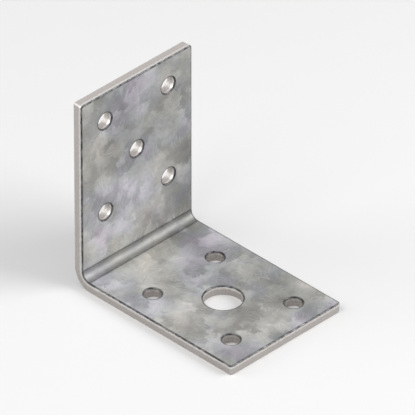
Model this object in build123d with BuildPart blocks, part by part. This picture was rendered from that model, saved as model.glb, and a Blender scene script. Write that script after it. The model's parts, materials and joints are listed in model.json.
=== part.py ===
from build123d import *
import os

# Angle bracket: one strip of galvanised steel sheet, sheared square, punched flat and folded once.
# Sizes are in millimetres. The origin is the heel at mid-width, where the outside planes of the two
# legs meet. The base leg runs along +X, the upright leg along +Z, and the fold along Y.

# Folded strip
sheet_thickness = 3.0
inside_bend_radius = 2.5
width = 42.0
base_length = 60.0  # from the outside of the upright leg to the base's free end
upright_height = 60.0  # from the underside of the base leg to the upright's free end

# Holes, laid out alike on both legs: four fixing holes round a hole in their middle
fixing_hole_diameter = 5.0
anchor_hole_diameter = 11.0  # the middle of the base leg, for a bolt or an anchor
locating_hole_diameter = 5.0  # the middle of the upright leg
end_margin = 9.0  # from a leg's free end to the outer row of fixing holes
side_margin = 9.0  # from a leg's side to the fixing holes beside it
row_pitch = 30.0  # between the two rows, along the leg

# Edges. The shear and the punches come from the inside of the fold, and roll that side's edges over
corner_radius = 0.8
edge_roll = 0.3
rim_roll = 0.3

outside_bend_radius = inside_bend_radius + sheet_thickness
column_pitch = width - 2 * side_margin
middle_to_end = end_margin + row_pitch / 2

# The inside face of each leg, with its origin at the middle of the holes and its X along the leg
base_face = Plane(
    origin=(base_length - middle_to_end, 0, sheet_thickness),
    x_dir=(1, 0, 0),
    z_dir=(0, 0, 1),
)
upright_face = Plane(
    origin=(sheet_thickness, 0, upright_height - middle_to_end),
    x_dir=(0, 0, 1),
    z_dir=(1, 0, 0),
)


with BuildPart() as angle_bracket:
    # The strip seen from its side. The two bends share one centre, so the sheet keeps its thickness
    with BuildSketch(Plane.XZ):
        with BuildLine():
            FilletPolyline(
                (0, 0),
                (base_length, 0),
                (base_length, sheet_thickness),
                (sheet_thickness, sheet_thickness),
                (sheet_thickness, upright_height),
                (0, upright_height),
                radius=(outside_bend_radius, 0, 0, inside_bend_radius, 0, 0),
                close=True,
            )
        make_face()
    extrude(amount=width / 2, both=True)

    # The corners of the two free ends
    base_corners = angle_bracket.edges().filter_by(Axis.Z).group_by(Axis.X)[-1]
    upright_corners = angle_bracket.edges().filter_by(Axis.X).group_by(Axis.Z)[-1]
    fillet(base_corners + upright_corners, corner_radius)

    # The inside edge is tangent all the way round, so the roll that starts at one end follows it
    base_end = angle_bracket.edges().filter_by(Axis.Y).group_by(Axis.X)[-1].sort_by(Axis.Z)[-1]
    fillet(base_end, edge_roll)

    # Both legs are punched alike, but for the size of the middle hole
    for face, middle_diameter in (
        (base_face, anchor_hole_diameter),
        (upright_face, locating_hole_diameter),
    ):
        with BuildSketch(face):
            Circle(middle_diameter / 2)
            with GridLocations(row_pitch, column_pitch, 2, 2):
                Circle(fixing_hole_diameter / 2)
        extrude(amount=-sheet_thickness, mode=Mode.SUBTRACT)
        outwards = Axis(face.origin, face.z_dir)
        rims = angle_bracket.edges(Select.LAST).filter_by(GeomType.CIRCLE).group_by(outwards)[-1]
        fillet(rims, rim_roll)

angle_bracket.part.label = "angle_bracket"

os.makedirs("parts", exist_ok=True)
export_step(angle_bracket.part, "parts/angle_bracket.step")
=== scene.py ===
import json
import math

import bmesh
import bpy
from mathutils import Matrix, Vector


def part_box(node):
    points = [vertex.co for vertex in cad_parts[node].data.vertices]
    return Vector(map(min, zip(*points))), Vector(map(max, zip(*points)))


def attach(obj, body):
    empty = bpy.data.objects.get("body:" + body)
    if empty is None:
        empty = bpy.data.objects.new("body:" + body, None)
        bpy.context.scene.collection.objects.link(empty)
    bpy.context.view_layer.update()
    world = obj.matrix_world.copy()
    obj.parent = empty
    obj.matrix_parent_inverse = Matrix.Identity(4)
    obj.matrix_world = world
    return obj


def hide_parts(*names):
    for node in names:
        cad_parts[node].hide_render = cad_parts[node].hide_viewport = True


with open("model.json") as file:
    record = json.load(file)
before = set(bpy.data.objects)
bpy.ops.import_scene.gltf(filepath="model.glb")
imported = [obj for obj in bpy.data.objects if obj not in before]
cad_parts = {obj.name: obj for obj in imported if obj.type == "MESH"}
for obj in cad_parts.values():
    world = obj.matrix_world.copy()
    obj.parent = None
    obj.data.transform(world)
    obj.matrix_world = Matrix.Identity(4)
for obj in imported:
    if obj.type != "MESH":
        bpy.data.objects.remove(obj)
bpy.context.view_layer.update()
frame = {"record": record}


# The bracket: one strip of hot-dip galvanised steel sheet, sheared to length, punched flat and
# folded once on a press. Its faces keep the mill's zinc coat, and every cut edge is bare steel.
# It is made here as the real one is: a flat blank first, then its holes, then the fold.

bracket_low, bracket_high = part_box("angle_bracket")
width = bracket_high.y - bracket_low.y
sheet = 0.003
inside_radius = 0.0025
outside_radius = inside_radius + sheet
corner_radius = 0.0008

# A blade or a punch comes from what will be the inside of the fold. It rolls the edge over, rubs
# the cut bright for about a third of the sheet, and tears the rest, which leans a little away
edge_roll = 0.0003
rub_width = 0.0003  # the flat beside the roll, where the tool rubs the zinc and the edge's painted shade fades
burnish = 0.0007
tear_lean = 0.00012
tear_height = sheet - edge_roll - burnish

# The sheet keeps its length a little inside its middle, so the fold takes up this much of the blank
neutral_depth = 0.42 * sheet
fold_length = math.pi / 2 * (inside_radius + neutral_depth)
fold_steps = 18
fold_waist = 0.00018  # the outside of the fold stretches, and draws in at both sides
base_line = bracket_low.x + outside_radius
upright_line = base_line - fold_length
blank_end = upright_line - (bracket_high.z - outside_radius)
blank_length = bracket_high.x - blank_end

too_small = 1e-7  # points nearer to each other than this are one

blank = bmesh.new()


def everything():
    """All of the blank, which a cut right across it takes."""
    return blank.verts[:] + blank.edges[:] + blank.faces[:]


# The strip, cut square with slightly eased corners
blank_middle = Vector(((bracket_high.x + blank_end) / 2, 0, sheet / 2))
bmesh.ops.create_cube(
    blank,
    size=1,
    matrix=Matrix.Translation(blank_middle) @ Matrix.Diagonal((blank_length, width, sheet, 1)),
)
corners = [e for e in blank.edges if abs(e.verts[0].co.z - e.verts[1].co.z) > sheet / 2]
bmesh.ops.bevel(
    blank, geom=corners, affect="EDGES", offset=corner_radius, segments=6, profile=0.5, material=-1
)

# The torn band, and the roll at the edge of the other face
bmesh.ops.bisect_plane(blank, geom=everything(), plane_co=(0, 0, tear_height), plane_no=(0, 0, 1))
bmesh.ops.scale(
    blank,
    verts=[v for v in blank.verts if v.co.z < too_small],
    vec=(1 - 2 * tear_lean / blank_length, 1 - 2 * tear_lean / width, 1),
    space=Matrix.Translation(-blank_middle),
)
upper_edges = [e for e in blank.edges if min(v.co.z for v in e.verts) > sheet - too_small]
bmesh.ops.bevel(
    blank, geom=upper_edges, affect="EDGES", offset=edge_roll, segments=4, profile=0.5, material=-1
)
upper_face = max(blank.faces, key=lambda f: f.calc_center_median().z)
bmesh.ops.inset_region(blank, faces=[upper_face], thickness=rub_width)

# The lines on which the press will turn it
for step in range(fold_steps + 1):
    line = base_line - fold_length * step / fold_steps
    bmesh.ops.bisect_plane(blank, geom=everything(), plane_co=(line, 0, 0), plane_no=(1, 0, 0))


def punch(x, y, radius):
    """Makes the wall of a round hole: its rubbed ring, roll, burnished band and torn band."""
    facet = 0.00035  # about how long one flat of the round wall is
    older = set(blank.verts)
    section = [blank.verts.new((x + radius + edge_roll + rub_width, y, sheet))]
    section = bmesh.ops.extrude_vert_indiv(blank, verts=section)["verts"]
    bmesh.ops.translate(blank, verts=section, vec=(-rub_width, 0, 0))
    section = bmesh.ops.spin(
        blank,
        geom=section,
        cent=(x + radius + edge_roll, y, sheet - edge_roll),
        axis=(0, 1, 0),
        angle=-math.pi / 2,
        steps=4,
    )["geom_last"]
    for outwards, down in ((0, burnish), (tear_lean, tear_height)):
        section = bmesh.ops.extrude_vert_indiv(blank, verts=section)["verts"]
        bmesh.ops.translate(blank, verts=section, vec=(outwards, 0, -down))
    verts = [v for v in blank.verts if v not in older]
    edges = [e for e in blank.edges if e.verts[0] not in older]
    bmesh.ops.spin(
        blank,
        geom=verts + edges,
        cent=(x, y, 0),
        axis=(0, 0, 1),
        angle=2 * math.pi,
        steps=4 * round(math.pi / 2 * radius / facet),
        use_merge=True,
    )


# The holes, where the frame has them
mounts = {mount["name"]: mount for mount in frame["record"]["mounts"]}
for middle_hole, fixings, along, across in (
    ("anchor_hole", "base_fixings", "spacing_x_mm", "spacing_y_mm"),
    ("locating_hole", "upright_fixings", "spacing_y_mm", "spacing_x_mm"),
):
    from_upright, _, from_base = mounts[middle_hole]["pos_m"]
    leg_middle = from_upright
    if from_upright < base_line:
        leg_middle = upright_line - (from_base - outside_radius)
    punch(leg_middle, 0, mounts[middle_hole]["dims"]["r_mm"] / 1000)
    row_pitch = mounts[fixings]["dims"][along] / 1000
    column_pitch = mounts[fixings]["dims"][across] / 1000
    for row in (-row_pitch / 2, row_pitch / 2):
        for column in (-column_pitch / 2, column_pitch / 2):
            punch(leg_middle + row, column, mounts[fixings]["dims"]["hole_r_mm"] / 1000)

# Each leg's two flats are taken off, and closed again round their holes
uncut = [f for f in blank.faces if f.calc_area() > width * width / 2]
bmesh.ops.delete(blank, geom=uncut, context="FACES_ONLY")
for height in (0, sheet):
    rims = [
        e
        for e in blank.edges
        if e.is_boundary and all(abs(v.co.z - height) < too_small for v in e.verts)
    ]
    for leg in (
        [e for e in rims if min(v.co.x for v in e.verts) > base_line - too_small],
        [e for e in rims if max(v.co.x for v in e.verts) < upright_line + too_small],
    ):
        bmesh.ops.triangle_fill(blank, edges=leg, use_beauty=True, use_dissolve=False)
bmesh.ops.remove_doubles(blank, verts=blank.verts[:], dist=too_small)
bmesh.ops.recalc_face_normals(blank, faces=blank.faces[:])


def slope(face):
    """How many degrees a face leans from the flat: none on top, and 180 underneath."""
    return math.degrees(face.normal.angle((0, 0, 1)))


# The cut walls are bare steel, and the rest keeps its zinc. These limits are in degrees
nearly_flat = 5
nearly_upright = 75
sharp_edge = 30
for face in blank.faces:
    face.smooth = True
    face.material_index = int(nearly_upright < slope(face) < 180 - nearly_upright)
for edge in blank.edges:
    edge.smooth = edge.calc_face_angle() < math.radians(sharp_edge)

# What the mill and the tools left on the sheet follows it round the fold, so every point keeps
# its place in the flat blank: how far along it, across it and up through it. It also keeps
# whether it lies where the sheet rolls over
blank_place = blank.verts.layers.float_vector.new("blank_place_mm")
rolled_over = blank.verts.layers.float.new("rolled_over")
for vert in blank.verts:
    vert[blank_place] = 1000 * vert.co
    vert[rolled_over] = any(nearly_flat < slope(f) < nearly_upright for f in vert.link_faces)

# The press draws the outside of the fold in, and turns the upright leg up, one line after another
for vert in blank.verts:
    part_way = (base_line - vert.co.x) / fold_length
    if 0 < part_way < 1 and vert.co.z < too_small and abs(vert.co.y) > width / 4:
        vert.co.y -= math.copysign(fold_waist * math.sin(math.pi * part_way), vert.co.y)
for step in reversed(range(fold_steps)):
    line = base_line - fold_length * step / fold_steps
    beyond = [v for v in blank.verts if v[blank_place].x < 1000 * (line - too_small)]
    bmesh.ops.translate(blank, verts=beyond, vec=(fold_length / fold_steps, 0, 0))
    bmesh.ops.rotate(
        blank,
        verts=beyond,
        cent=(line, 0, outside_radius),
        matrix=Matrix.Rotation(math.pi / 2 / fold_steps, 3, "Y"),
    )

bracket_mesh = bpy.data.meshes.new("folded_sheet")
blank.to_mesh(bracket_mesh)
blank.free()
bracket = bpy.data.objects.new("folded_bracket", bracket_mesh)
bpy.context.scene.collection.objects.link(bracket)
bracket.modifiers.new("flats_stay_flat", "WEIGHTED_NORMAL").keep_sharp = True


def linear(hex_value):
    """The linear colour, with alpha, of an sRGB hex value."""
    channels = [int(hex_value[i : i + 2], 16) / 255 for i in (1, 3, 5)]
    return [c / 12.92 if c < 0.04045 else ((c + 0.055) / 1.055) ** 2.4 for c in channels] + [1]


def add(tree, kind, inputs, stops=(), **settings):
    """Adds a node. An input is a value, a socket, or a node, which gives its first output in use.
    The stops are a colour ramp's, each a place on it and an sRGB hex value."""
    node = tree.nodes.new("ShaderNode" + kind)
    for name, value in settings.items():
        setattr(node, name, value)
    for name, value in inputs.items():
        if isinstance(value, bpy.types.Node):
            value = next(output for output in value.outputs if output.enabled)
        if isinstance(value, bpy.types.NodeSocket):
            tree.links.new(value, node.inputs[name])
        else:
            node.inputs[name].default_value = value
    for place, hex_value in stops:
        node.color_ramp.elements.new(place).color = linear(hex_value)
    if stops:
        node.color_ramp.elements.remove(node.color_ramp.elements[0])
        node.color_ramp.elements.remove(node.color_ramp.elements[-1])
    return node


def material(name):
    """A new material, and its empty node tree."""
    made = bpy.data.materials.new(name)
    made.use_nodes = True
    made.node_tree.nodes.clear()
    return made, made.node_tree


# Hot-dip galvanised zinc. It froze on the sheet in crystals, the spangle, each of which grew its
# own way and weathers to its own grey. To the eye that is a mottling in pale and darker greys
# with a breath of violet, blue or straw, a satin gloss that changes from patch to patch, and a
# fine feathering inside each patch
cloud_mm = 12.0
spangle_mm = 5.0
spangle_raggedness_mm = 7.0
spangle_wander_mm = 3.0
feather_width_mm = 0.6  # really about 0.1, which is too fine to show
feather_length_mm = 2.5
feather_relief_mm = 0.03
tint_mm = 14.0
crystal_share = 0.24  # the rest is clouds
feather_share = 0.26  # the rest is clouds and crystals
smoothest_crystal = 0.36
roughest_crystal = 0.52
cut_from_mm = (298.5, -562.5, 250)  # which stretch of the endless pattern this strip shows
between_faces_mm = 150.0  # the sheet's two faces are as unlike as places this far apart
noise_middle = 0.5  # a noise swings about as far above this as below it

zinc, tree = material("hot_dip_galvanised_zinc")
place = add(tree, "Attribute", {}, attribute_name="blank_place_mm").outputs["Vector"]
apart = add(tree, "SeparateXYZ", {0: place})
inside = add(tree, "Math", {0: apart.outputs["Z"], 1: 1000 * sheet / 2}, operation="GREATER_THAN")
which_face = add(tree, "Math", {0: inside, 1: between_faces_mm}, operation="MULTIPLY")
on_face = add(
    tree, "CombineXYZ", {"X": apart.outputs["X"], "Y": apart.outputs["Y"], "Z": which_face}
)
on_face = add(tree, "Mapping", {"Vector": on_face, "Location": cut_from_mm})

# The crystals have ragged borders
wander = add(
    tree,
    "TexNoise",
    {"Vector": on_face, "Scale": 1 / spangle_wander_mm, "Detail": 4, "Roughness": 0.65},
)
wander = add(
    tree, "VectorMath", {0: wander.outputs["Color"], 1: 3 * (noise_middle,)}, operation="SUBTRACT"
)
wander = add(tree, "VectorMath", {0: wander, "Scale": spangle_raggedness_mm}, operation="SCALE")
ragged = add(tree, "VectorMath", {0: on_face, 1: wander}, operation="ADD")
crystals = add(
    tree,
    "TexVoronoi",
    {"Vector": ragged, "Scale": 1 / spangle_mm, "Smoothness": 0.4},
    feature="SMOOTH_F1",
)
crystal = add(tree, "SeparateColor", {0: crystals.outputs["Color"]})

# Feathers run a way of their own in each crystal
turn = add(tree, "Math", {0: crystal.outputs["Blue"], 1: 2 * math.pi}, operation="MULTIPLY")
turned = add(tree, "VectorRotate", {"Vector": on_face, "Angle": turn}, rotation_type="Z_AXIS")
drawn_out = add(
    tree,
    "Mapping",
    {"Vector": turned, "Scale": (1 / feather_length_mm, 1 / feather_width_mm, 1)},
)
feathers = add(
    tree, "TexNoise", {"Vector": drawn_out, "Scale": 1, "Detail": 3, "Roughness": 0.6}
)

# Clouds, crystals and feathers together make the grey, and a slow drift over the sheet its tint
clouds = add(
    tree, "TexNoise", {"Vector": on_face, "Scale": 1 / cloud_mm, "Detail": 6, "Roughness": 0.6}
)
crystal_grey = crystal.outputs["Red"]
grey = add(tree, "Mix", {0: crystal_share, 2: clouds, 3: crystal_grey}, data_type="FLOAT")
grey = add(tree, "Mix", {0: feather_share, 2: grey, 3: feathers}, data_type="FLOAT")
grey = add(
    tree,
    "ValToRGB",
    {0: grey},
    stops=(
        (0.32, "#828282"),
        (0.41, "#959594"),
        (0.50, "#a9a9a8"),
        (0.59, "#bdbcbb"),
        (0.68, "#d0cfce"),
    ),
)
drift = add(tree, "TexNoise", {"Vector": on_face, "Scale": 1 / tint_mm, "Detail": 2})
tint = add(
    tree,
    "ValToRGB",
    {0: drift},
    stops=((0.34, "#f7f1fd"), (0.44, "#f2f4f9"), (0.54, "#f7f7f4"), (0.66, "#faf7f2")),
)
colour = add(tree, "VectorMath", {0: grey, 1: tint}, operation="MULTIPLY")

# The fold squeezes the zinc on its inside smooth, which evens out its mottling. The darker grey
# mixed in there is painted shade, which dims the highlight that the inside of the fold catches.
# On its outside the fold stretches the zinc until it crazes along the fold. The cracks are drawn
# several times as wide as they are
squeezed_and_shaded_grey = "#616160"
cracked_grey = "#808080"
squeezed_and_shaded_share = 0.65
cracked_share = 0.7
fold_middle_mm = 1000 * (base_line + upright_line) / 2
half_fold_mm = 1000 * fold_length / 2
fold_border_mm = 0.6
crack_width_mm = 0.35
crack_length_mm = 4.0
from_fold = add(tree, "Math", {0: apart.outputs["X"], 1: fold_middle_mm}, operation="SUBTRACT")
from_fold = add(tree, "Math", {0: from_fold}, operation="ABSOLUTE")
in_fold = add(
    tree,
    "MapRange",
    {
        "Value": from_fold,
        "From Min": half_fold_mm + fold_border_mm,
        "From Max": half_fold_mm - fold_border_mm,
    },
)
squeezed = add(tree, "Math", {0: in_fold, 1: inside}, operation="MULTIPLY")
smoothed_and_shaded = add(tree, "Math", {0: squeezed, 1: squeezed_and_shaded_share}, operation="MULTIPLY")
# Painted shade: the inside of the fold is mixed towards a dark grey, as well as evened out
colour = add(tree, "Mix", {0: smoothed_and_shaded, 6: colour, 7: linear(squeezed_and_shaded_grey)}, data_type="RGBA")
across_fold = add(
    tree,
    "Mapping",
    {"Vector": on_face, "Scale": (1 / crack_width_mm, 1 / crack_length_mm, 1)},
)
cracks = add(
    tree, "TexNoise", {"Vector": across_fold, "Scale": 1, "Detail": 3, "Roughness": 0.6}
)
cracks = add(
    tree,
    "MapRange",
    {"Value": cracks, "From Min": 0.50, "From Max": 0.62, "To Max": cracked_share},
)
stretched = add(tree, "Math", {0: in_fold, 1: squeezed}, operation="SUBTRACT")
cracks = add(tree, "Math", {0: cracks, 1: stretched}, operation="MULTIPLY")
colour = add(tree, "Mix", {0: cracks, 6: colour, 7: linear(cracked_grey)}, data_type="RGBA")

# Where the edges roll over and just beside them, a dark grey is painted shade, which dims the
# highlight that the rolled edges catch, and the coat is rubbed thin and dull there too. The coat is
# also rubbed thin and dull where the two shoulders of the press's nose bore on it at either end of
# the fold
rubbed_and_shaded_grey = "#404143"
rub_patch_mm = 1.6
least_rubbed = 0.6  # what share of the darkening, rubbing and painted shade, the palest patches keep
press_line_mm = 0.38
press_line_share = 0.7
rolled = add(tree, "Attribute", {}, attribute_name="rolled_over").outputs["Fac"]
rolled = add(tree, "MapRange", {"Value": rolled, "From Min": 0.3, "From Max": 0.9})
from_line = add(tree, "Math", {0: from_fold, 1: half_fold_mm}, operation="SUBTRACT")
from_line = add(tree, "Math", {0: from_line}, operation="ABSOLUTE")
pressed = add(
    tree,
    "MapRange",
    {
        "Value": from_line,
        "From Min": press_line_mm,
        "From Max": press_line_mm / 4,
        "To Max": press_line_share,
    },
)
dulled_and_shaded = add(tree, "Math", {0: rolled, 1: pressed}, operation="MAXIMUM")
dulled_and_shaded = add(tree, "Math", {0: dulled_and_shaded, 1: inside}, operation="MULTIPLY")
patchy = add(tree, "TexNoise", {"Vector": on_face, "Scale": 1 / rub_patch_mm, "Detail": 4})
patchy = add(
    tree,
    "MapRange",
    {"Value": patchy, "From Min": 0.35, "From Max": 0.60, "To Min": least_rubbed},
)
dulled_and_shaded = add(tree, "Math", {0: dulled_and_shaded, 1: patchy}, operation="MULTIPLY")
# Painted shade along the rolled edges, with the rubbed coat there and at the press lines, in a dark
# grey
colour = add(tree, "Mix", {0: dulled_and_shaded, 6: colour, 7: linear(rubbed_and_shaded_grey)}, data_type="RGBA")

# Each crystal has its own gloss, which the fold evens out to a duller one
fold_roughness = 0.55
roughness = add(
    tree,
    "MapRange",
    {
        "Value": crystal.outputs["Green"],
        "To Min": smoothest_crystal,
        "To Max": roughest_crystal,
    },
)
roughness = add(tree, "Mix", {0: in_fold, 2: roughness, 3: fold_roughness}, data_type="FLOAT")
relief = add(tree, "Math", {0: feathers, 1: cracks}, operation="SUBTRACT")
normal = add(
    tree, "Bump", {"Height": relief, "Strength": 0.5, "Distance": feather_relief_mm / 1000}
)
shader = add(
    tree,
    "BsdfPrincipled",
    {"Base Color": colour, "Metallic": 1, "Roughness": roughness, "Normal": normal},
)
add(tree, "OutputMaterial", {"Surface": shader})


# Bare sheared steel. The tool drags a little zinc down over the edge, which is painted in the dark
# grey of the rolled edge, so it is partly painted shade too. The tool also rubs a bright band with
# fine lines down it. Below an uneven line the steel is torn, which is grainier, duller and a little
# warmer. Lines and grain are drawn about five times as coarse as they are
score_width_mm = 0.17
score_length_mm = 3.0
grain_mm = 0.28
steel_relief_mm = 0.05
torn_at_mm = 1000 * tear_height
torn_border_mm = 0.1
wave_mm = 0.9  # how long the waves are in the borders of the torn band and of the smear
wave_height_mm = 0.9  # of which a noise uses about the middle half
smear_mm = 0.40  # how far below the sheet's face the zinc is dragged
smear_border_mm = 0.15
smear_wave_height_mm = 0.5
burnished_roughness = 0.30
torn_roughness = 0.52

steel, tree = material("sheared_steel")
place = add(tree, "Attribute", {}, attribute_name="blank_place_mm").outputs["Vector"]
apart = add(tree, "SeparateXYZ", {0: place})
waves = add(
    tree, "TexNoise", {"Vector": place, "Scale": 1 / wave_mm, "Detail": 3, "Roughness": 0.6}
)
waves = add(tree, "Math", {0: waves, 1: noise_middle}, operation="SUBTRACT")
wavy_height = add(
    tree, "Math", {0: waves, 1: wave_height_mm, 2: apart.outputs["Z"]}, operation="MULTIPLY_ADD"
)
torn = add(
    tree,
    "MapRange",
    {
        "Value": wavy_height,
        "From Min": torn_at_mm + torn_border_mm,
        "From Max": torn_at_mm - torn_border_mm,
    },
)
scored = add(
    tree,
    "Mapping",
    {"Vector": place, "Scale": (1 / score_width_mm, 1 / score_width_mm, 1 / score_length_mm)},
)
scores = add(tree, "TexNoise", {"Vector": scored, "Scale": 1, "Detail": 2, "Roughness": 0.6})
grain = add(
    tree, "TexNoise", {"Vector": place, "Scale": 1 / grain_mm, "Detail": 3, "Roughness": 0.7}
)
bright = add(tree, "ValToRGB", {0: scores}, stops=((0.35, "#cbc6c3"), (0.65, "#dedad7")))
dull = add(tree, "ValToRGB", {0: grain}, stops=((0.35, "#a6a19e"), (0.65, "#c3beba")))
colour = add(tree, "Mix", {0: torn, 6: bright, 7: dull}, data_type="RGBA")
below_face = add(tree, "Math", {0: 1000 * sheet, 1: apart.outputs["Z"]}, operation="SUBTRACT")
smear_and_shade = add(
    tree, "Math", {0: waves, 1: -smear_wave_height_mm, 2: below_face}, operation="MULTIPLY_ADD"
)
smear_and_shade = add(
    tree, "MapRange", {"Value": smear_and_shade, "From Min": smear_mm, "From Max": smear_mm - smear_border_mm}
)
# The dragged zinc just below the face is mixed towards that dark grey, partly painted shade
colour = add(tree, "Mix", {0: smear_and_shade, 6: colour, 7: linear(rubbed_and_shaded_grey)}, data_type="RGBA")
roughness = add(
    tree, "MapRange", {"Value": torn, "To Min": burnished_roughness, "To Max": torn_roughness}
)
relief = add(tree, "Mix", {0: torn, 2: scores, 3: grain}, data_type="FLOAT")
normal = add(
    tree, "Bump", {"Height": relief, "Strength": 0.5, "Distance": steel_relief_mm / 1000}
)
shader = add(
    tree,
    "BsdfPrincipled",
    {"Base Color": colour, "Metallic": 1, "Roughness": roughness, "Normal": normal},
)
add(tree, "OutputMaterial", {"Surface": shader})

bracket_mesh.materials.append(zinc)
bracket_mesh.materials.append(steel)
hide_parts("angle_bracket")
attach(bracket, "root")


# The studio: a sheet of matt pale grey paper for a floor, which fades out to a white room, three
# soft lamps and a long lens
floor_radius = 0.45
fade_from = 0.4 * floor_radius
fade_to = 0.95 * floor_radius
floor_gap = 0.00002  # keeps the paper just clear of the bracket's underside
disc = bmesh.new()
bmesh.ops.create_circle(
    disc,
    cap_ends=True,
    segments=96,
    radius=floor_radius,
    matrix=Matrix.Translation((0, 0, -floor_gap)),
)
floor_mesh = bpy.data.meshes.new("floor")
disc.to_mesh(floor_mesh)
disc.free()
floor = bpy.data.objects.new("floor", floor_mesh)
bpy.context.scene.collection.objects.link(floor)

paper, tree = material("matt_pale_paper")
place = add(tree, "TexCoord", {}).outputs["Object"]
from_middle = add(tree, "VectorMath", {0: place}, operation="LENGTH")
fade = add(
    tree,
    "MapRange",
    {"Value": from_middle, "From Min": fade_from, "From Max": fade_to},
    interpolation_type="SMOOTHSTEP",
)
diffuse = add(tree, "BsdfDiffuse", {"Color": linear("#d4d4d4")})
gone = add(tree, "BsdfTransparent", {})
surface = add(tree, "MixShader", {0: fade, 1: diffuse, 2: gone})
add(tree, "OutputMaterial", {"Surface": surface})
floor_mesh.materials.append(paper)

# The room lights the bracket at half strength, and shows white to the camera and in the metal
room_light = 0.5
room = bpy.data.worlds.new("white_room")
room.use_nodes = True
tree = room.node_tree
tree.nodes.clear()
rays = add(tree, "LightPath", {}).outputs
seen = add(
    tree, "Math", {0: rays["Is Camera Ray"], 1: rays["Is Glossy Ray"]}, operation="MAXIMUM"
)
seen = add(tree, "Math", {0: seen, 1: rays["Is Transmission Ray"]}, operation="MAXIMUM")
soft = add(tree, "Background", {"Color": linear("#ffffff"), "Strength": room_light})
white = add(tree, "Background", {"Color": linear("#ffffff"), "Strength": 1})
sky = add(tree, "MixShader", {0: seen, 1: soft, 2: white})
add(tree, "OutputWorld", {"Surface": sky})
bpy.context.scene.world = room

# Each lamp's brightness is what it gives to white paper that faces it. Azimuth 0 is from the -Y
# side, and 90 from the free end of the base leg
aim = (bracket_low + bracket_high) / 2
for name, azimuth, elevation, distance, size, brightness in (
    ("key", 0, 55, 0.9, 0.6, 0.5),
    ("fill", 130, 35, 0.9, 0.7, 0.9),
    ("left", 310, 25, 0.9, 0.6, 0.3),
):
    away = Vector(
        (
            math.sin(math.radians(azimuth)) * math.cos(math.radians(elevation)),
            -math.cos(math.radians(azimuth)) * math.cos(math.radians(elevation)),
            math.sin(math.radians(elevation)),
        )
    )
    lamp = bpy.data.lights.new(name, "AREA")
    lamp.shape = "DISK"
    lamp.size = size
    lamp.energy = brightness * math.pi**2 * distance**2
    placed = bpy.data.objects.new(name, lamp)
    placed.location = aim + away * distance
    placed.rotation_euler = away.to_track_quat("Z", "Y").to_euler()
    bpy.context.scene.collection.objects.link(placed)

# The photograph is drawn without perspective, from 45 degrees round and level with a cube's
# diagonal. A very long lens from far off gives nearly that
picture_width = 0.112
lens = bpy.data.cameras.new("long_lens")
lens.lens = 1000
camera = bpy.data.objects.new("camera", lens)
toward_camera = Vector((1, -1, 1)).normalized()
camera_distance = picture_width * lens.lens / lens.sensor_width
camera.location = aim + toward_camera * camera_distance
camera.rotation_euler = toward_camera.to_track_quat("Z", "Y").to_euler()
lens.clip_start = 0.1
lens.clip_end = 3 * camera_distance
bpy.context.scene.collection.objects.link(camera)
bpy.context.scene.camera = camera
bpy.context.scene.view_settings.view_transform = "Standard"
